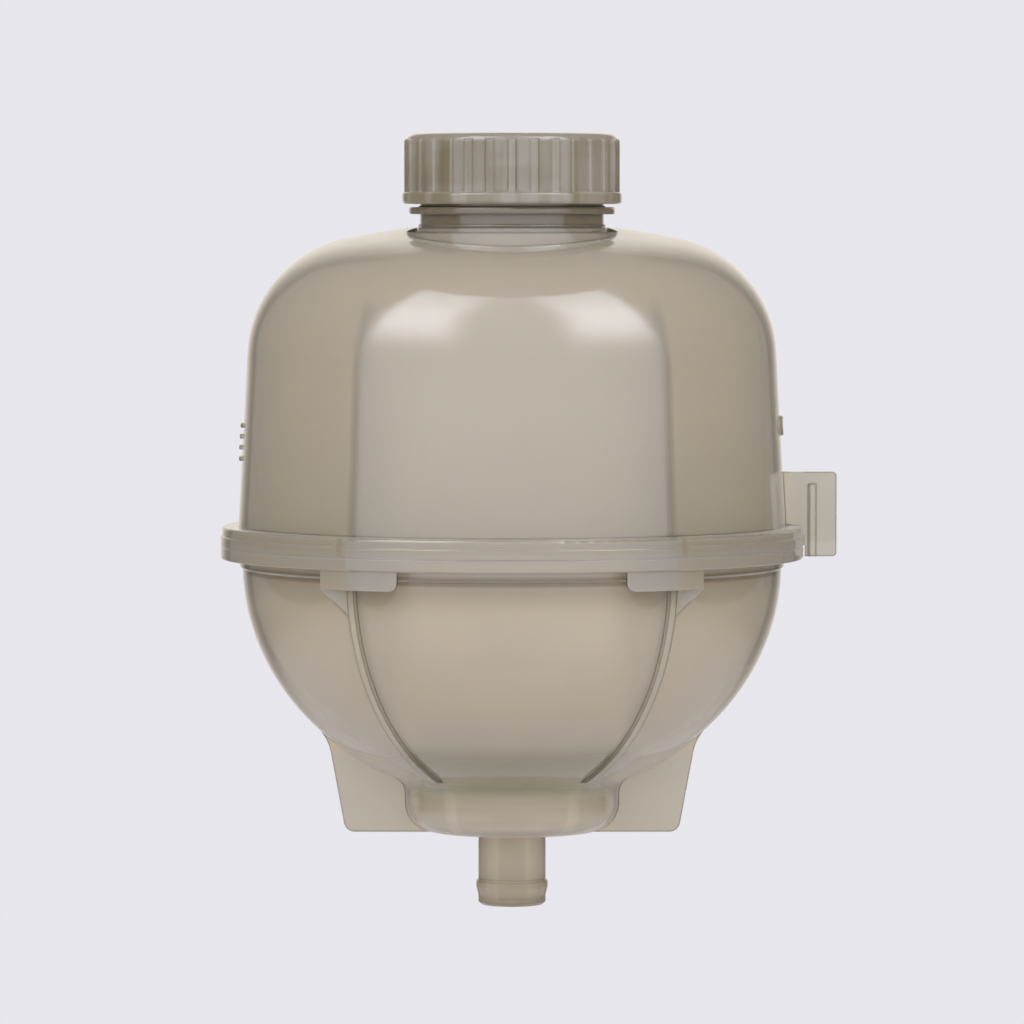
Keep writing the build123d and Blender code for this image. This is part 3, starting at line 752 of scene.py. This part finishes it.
def thread(name, radius, side, low_z):
    """All starts of a thread that stands out from a round wall (side 1) or into it (side -1)."""
    size = sizes()
    half = size.thread_width / 2
    half_crest = half * 0.45
    height = size.thread_height * side
    root = -0.3 * MM * side
    section = [(root, -half), (height, -half_crest), (height, half_crest), (root, half)]
    runout_steps = 10

    def fill(bm):
        for start in range(size.thread_starts):
            angle = tau * start / size.thread_starts
            path = helix_frames(radius, low_z, size.thread_lead, size.thread_turns, angle)
            rings = []
            for index, (origin, out, up) in enumerate(path):
                near_end = min(index, len(path) - 1 - index)
                grow = min(1.0, (near_end + 0.5) / runout_steps)
                rings.append([bm.verts.new(origin + out * (root + (x - root) * grow) + up * y)
                              for x, y in section])
            skin(bm, rings)

    piece = new_mesh(name, fill)
    bevel = piece.modifiers.new("edges", "BEVEL")
    bevel.width = 0.2 * MM
    bevel.segments = 2
    bevel.limit_method = "ANGLE"
    bevel.angle_limit = radians(30)
    smooth(piece, 50)
    return piece


class TANK_OT_threads(bpy.types.Operator):
    """Two-start threads of the neck and the cap"""

    bl_idname = "tank.threads"
    bl_label = "Threads"

    def execute(self, context):
        size = sizes()
        low_z = CAP_LOW.z + 2.4 * MM
        outer = thread("neck_thread", size.neck_r, 1, low_z)
        dress(outer, finish("tank_finish"), "tank")
        inner = thread("cap_thread", size.cap_bore_r, -1, low_z + size.thread_lead / 4)
        dress(inner, finish("cap_finish"), "cap")
        return {"FINISHED"}


class TANK_OT_neck_rings(bpy.types.Operator):
    """Fine turned rings at the foot of the neck and under the cap"""

    bl_idname = "tank.neck_rings"
    bl_label = "Neck rings"

    def execute(self, context):
        section = round_section(0.5 * MM, 10)
        radius = sizes().neck_r

        def fill(bm):
            for below_cap in (0.9 * MM, 5.9 * MM):
                centre = Vector((0, NECK_Y, CAP_LOW.z - below_cap))
                swept_tube(bm, ring_frames(centre, radius, 180), section, closed=True)

        piece = new_mesh("neck_rings", fill)
        smooth(piece, 60)
        dress(piece, finish("tank_finish"), "tank")
        return {"FINISHED"}


def wall_point(azimuth, height, proud):
    """Point on the drafted upper wall, azimuth 0 at the front, positive towards +X."""
    size = sizes()
    lean = (height - WELD_Z) * tan(size.wall_draft)
    radius = size.wall_foot_r - lean + proud
    return Vector((radius * sin(azimuth), -radius * cos(azimuth), height))


def raised_patch(bm, outline, azimuth, height, proud):
    """Closed raised patch on the wall from an outline in arc length and height."""
    radius = sizes().wall_foot_r
    sink = 0.6 * MM
    rings = []
    for depth, shrink in ((-sink, 1.0), (proud * 0.55, 1.0), (proud, 0.86)):
        rings.append([bm.verts.new(wall_point(azimuth + x * shrink / radius, height + y * shrink, depth))
                      for x, y in outline])
    skin(bm, rings)


def bar_outline(length, height, steps=6):
    """Rounded bar, longer along the wall than up it."""
    points = []
    for side in (1, -1):
        for step in range(steps + 1):
            angle = -pi / 2 + pi * step / steps
            points.append((side * (length / 2 - height / 2 + height / 2 * cos(angle)),
                           side * height / 2 * sin(angle)))
    return points


class TANK_OT_marks(bpy.types.Operator):
    """Raised level ticks on the left wall and a plain raised oval on the right"""

    bl_idname = "tank.marks"
    bl_label = "Raised marks"

    def execute(self, context):
        proud = sizes().mark_proud
        tick_pitch = 3.1 * MM
        tick_lengths = (9.0 * MM, 5.0 * MM, 5.0 * MM, 9.0 * MM)

        def ticks(bm):
            low_z = TOP_MARK_Z - tick_pitch * (len(tick_lengths) - 1)
            for index, length in enumerate(tick_lengths):
                outline = bar_outline(length, 1.3 * MM)
                raised_patch(bm, outline, radians(-88), low_z + tick_pitch * index, proud)

        def oval(bm):
            raised_patch(bm, bar_outline(10.0 * MM, 5.6 * MM, 10), radians(86), TOP_MARK_Z, proud)

        for name, fill in (("level_ticks", ticks), ("raised_oval", oval)):
            piece = new_mesh(name, fill)
            smooth(piece, 30)
            dress(piece, finish("tank_finish"), "tank")
        return {"FINISHED"}


class TANK_OT_weld_bead(bpy.types.Operator):
    """Bead of melt in the seam between the two flange halves"""

    bl_idname = "tank.weld_bead"
    bl_label = "Weld bead"

    def execute(self, context):
        section = round_section(0.28 * MM, 8)
        path = ring_frames(Vector((0, 0, WELD_Z)), FLANGE_R - 0.33 * MM, 360)
        piece = new_mesh("weld_bead", lambda bm: swept_tube(bm, path, section, closed=True))
        smooth(piece, 60)
        dress(piece, finish("tank_finish"), "tank")
        return {"FINISHED"}


def direction(azimuth, elevation):
    """Unit vector seen from the tank, azimuth 0 towards the camera, positive towards +X."""
    aside = radians(azimuth)
    rise = radians(elevation)
    return Vector((sin(aside) * cos(rise), -cos(aside) * cos(rise), sin(rise)))


def smoothstep(value, start, end):
    """0 at start, 1 at end, smooth between."""
    share = min(max((value - start) / (end - start), 0), 1)
    return share * share * (3 - 2 * share)


def bare_material(name):
    """Material without nodes, and the way to add them."""
    material = bpy.data.materials.new(name)
    made = Nodes(material)
    made.tree.nodes.clear()
    return material, made


def glow(name, tint):
    """Emission at the radiance kept in the mesh's level attribute."""
    material, made = bare_material(name)
    level = made.add("ShaderNodeAttribute", attribute_name="level").outputs["Fac"]
    out = made.add("ShaderNodeOutputMaterial")
    made.link(made.coloured("ShaderNodeEmission", tint, level), out.inputs["Surface"])
    return material


def light_panel(name, low, high, reach, level, tint, turn=0):
    """Light panel on a sphere round the tank, symmetric about the azimuth that it is turned to.

    low and high are (half azimuth, elevation) of its ends. level(azimuth, elevation) gives the radiance."""
    centre = Vector((0, 0, studio().lamp_centre_z))
    steps = 72
    radiance = []

    def fill(bm):
        rows = []
        for row in range(steps + 1):
            up = row / steps
            half = low[0] + (high[0] - low[0]) * up
            elevation = low[1] + (high[1] - low[1]) * up
            verts = []
            for column in range(steps + 1):
                azimuth = half * (2 * column / steps - 1)
                verts.append(bm.verts.new(centre + direction(azimuth + turn, elevation) * reach))
                radiance.append(level(azimuth, elevation))
            rows.append(verts)
        for first, second in zip(rows, rows[1:]):
            for i in range(steps):
                bm.faces.new((first[i], first[i + 1], second[i + 1], second[i]))

    panel = new_mesh(name, fill)
    panel.data.attributes.new("level", "FLOAT", "POINT").data.foreach_set("value", radiance)
    panel.data.materials.append(glow(name + "_glow", tint))
    panel.visible_camera = False
    panel.visible_shadow = False
    return panel


def front_radiance(azimuth, elevation):
    """Even card with a pair of bright bean-shaped softboxes high up on it, faded out at its low end."""
    look = studio()
    aside = abs(azimuth)
    card = look.card_level * (1 - 0.1 * smoothstep(aside, 30, 66))
    bean_start = 22 - 10 * smoothstep(elevation, 40, 60)
    bean_width = smoothstep(aside, bean_start - 5, bean_start + 14) * (1 - smoothstep(aside, 62, 67))
    bean_height = smoothstep(elevation, 8, 34) * (1 - 0.45 * smoothstep(elevation, 40, 60))
    lit = card + (look.box_level - card) * bean_width * bean_height
    return look.gloss_level + (lit - look.gloss_level) * smoothstep(elevation, -13, -4)


def rim_radiance(azimuth, elevation):
    """Card behind the tank, brightest in its middle."""
    return studio().rim_level * (1 - smoothstep(abs(azimuth), 8, 34)) * smoothstep(elevation, -32, 0)


def light_panels(look):
    """Front card and rim card that gloss mirrors, and two cards that light matt faces only."""
    light_panel("front_card", (66, -14), (69, 61), look.lamp_distance, front_radiance, look.card_tint)
    for name, turn in (("key_card", -3), ("back_card", 180)):
        matt_light = light_panel(name, (55, -50), (55, 60), look.lamp_distance * 1.4,
                                 lambda azimuth, elevation: look.key_level, look.fill_tint, turn)
        matt_light.visible_glossy = False
        matt_light.visible_transmission = False
    light_panel("rim_card", (34, -40), (34, 50), look.lamp_distance * 1.3, rim_radiance, look.fill_tint, 180)


def surroundings(look, colour):
    """World with the backdrop's colour for the camera and glass, dim for gloss and warm for the rest."""
    world = bpy.data.worlds.new("surroundings")
    bpy.context.scene.world = world
    made = Nodes(world)
    made.tree.nodes.clear()
    ray = made.add("ShaderNodeLightPath").outputs
    seen = made.math("MAXIMUM", ray["Is Camera Ray"], ray["Is Transmission Ray"])
    warm = made.coloured("ShaderNodeBackground", look.fill_tint, look.fill_level)
    dim = made.coloured("ShaderNodeBackground", look.fill_tint, look.gloss_level)
    unseen = made.mix_shaders(ray["Is Glossy Ray"], warm, dim)
    whole = made.mix_shaders(seen, unseen, made.coloured("ShaderNodeBackground", colour, 1.0))
    made.link(whole, made.add("ShaderNodeOutputWorld").inputs["Surface"])


def floor_material(colour, solid_r, clear_r):
    """Pale floor that takes the tank's shadow and fades out to the surroundings."""
    bounce, seen_glow = 0.65, 0.7
    material, made = bare_material("pale_floor")
    camera_ray = made.add("ShaderNodeLightPath").outputs["Is Camera Ray"]
    plain = made.add("ShaderNodeBsdfDiffuse")
    bounced = (*[channel * bounce for channel in colour], 1)
    made.link(made.mix(camera_ray, bounced, (*colour, 1)), plain.inputs["Color"])
    glowing = made.coloured("ShaderNodeEmission", colour)
    surface = made.mix_shaders(made.math("MULTIPLY", camera_ray, seen_glow), plain.outputs[0], glowing)
    reach = made.add("ShaderNodeVectorMath", operation="LENGTH")
    made.link(made.add("ShaderNodeTexCoord").outputs["Object"], reach.inputs[0])
    fade = made.band(reach.outputs["Value"], solid_r, clear_r)
    clear = made.add("ShaderNodeBsdfTransparent").outputs[0]
    whole = made.mix_shaders(fade, surface, clear)
    made.link(whole, made.add("ShaderNodeOutputMaterial").inputs["Surface"])
    return material


def lay_floor(look, colour):
    """Round floor far below the tank."""
    def fill(bm):
        bmesh.ops.create_circle(bm, cap_ends=True, segments=96, radius=look.floor_r)

    floor = new_mesh("floor", fill)
    floor.location.z = look.floor_z
    floor.data.materials.append(floor_material(colour, look.floor_r * 0.3, look.floor_r * 0.95))


def set_camera(look):
    """Long lens in front of the tank, a little above it."""
    eye = bpy.data.cameras.new("camera")
    eye.sensor_width = 36
    eye.lens = look.lens
    camera = bpy.data.objects.new("camera", eye)
    bpy.context.scene.collection.objects.link(camera)
    camera.location = (0, -look.eye_distance, look.eye_z)
    aim = Vector((0, 0, look.aim_z)) - camera.location
    camera.rotation_euler = aim.to_track_quat("-Z", "Y").to_euler()
    bpy.context.scene.camera = camera


class TANK_OT_stage(bpy.types.Operator):
    """Floor, surroundings, light panels and camera"""

    bl_idname = "tank.stage"
    bl_label = "Stage"

    def execute(self, context):
        look = studio()
        colour = colours().backdrop
        context.scene.view_settings.view_transform = "Standard"
        surroundings(look, colour)
        lay_floor(look, colour)
        light_panels(look)
        set_camera(look)
        return {"FINISHED"}


OPERATORS = (TANK_OT_shells, TANK_OT_cap, TANK_OT_valves, TANK_OT_springs, TANK_OT_threads,
             TANK_OT_neck_rings, TANK_OT_marks, TANK_OT_weld_bead, TANK_OT_stage)


class TANK_PT_panel(bpy.types.Panel):
    """Sizes, colours and steps of the tank"""

    bl_idname = "TANK_PT_panel"
    bl_label = "Expansion tank"
    bl_space_type = "VIEW_3D"
    bl_region_type = "UI"
    bl_category = "Tank"

    def draw(self, context):
        layout = self.layout
        for group in (sizes(), colours(), studio()):
            box = layout.box()
            for key in group.bl_rna.properties.keys():
                if key not in ("rna_type", "name"):
                    box.prop(group, key)
        for operator in OPERATORS:
            layout.operator(operator.bl_idname)


CLASSES = (TankSizes, TankColours, StudioSettings, *OPERATORS, TANK_PT_panel)


def register():
    for cls in CLASSES:
        bpy.utils.register_class(cls)
    bpy.types.Scene.tank_sizes = PointerProperty(type=TankSizes)
    bpy.types.Scene.tank_colours = PointerProperty(type=TankColours)
    bpy.types.Scene.tank_studio = PointerProperty(type=StudioSettings)


def unregister():
    del bpy.types.Scene.tank_studio
    del bpy.types.Scene.tank_colours
    del bpy.types.Scene.tank_sizes
    for cls in reversed(CLASSES):
        bpy.utils.unregister_class(cls)


def main():
    register()
    for operator in OPERATORS:
        area, name = operator.bl_idname.split(".")
        getattr(getattr(bpy.ops, area), name)()
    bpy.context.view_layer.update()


if __name__ == "__main__":
    main()
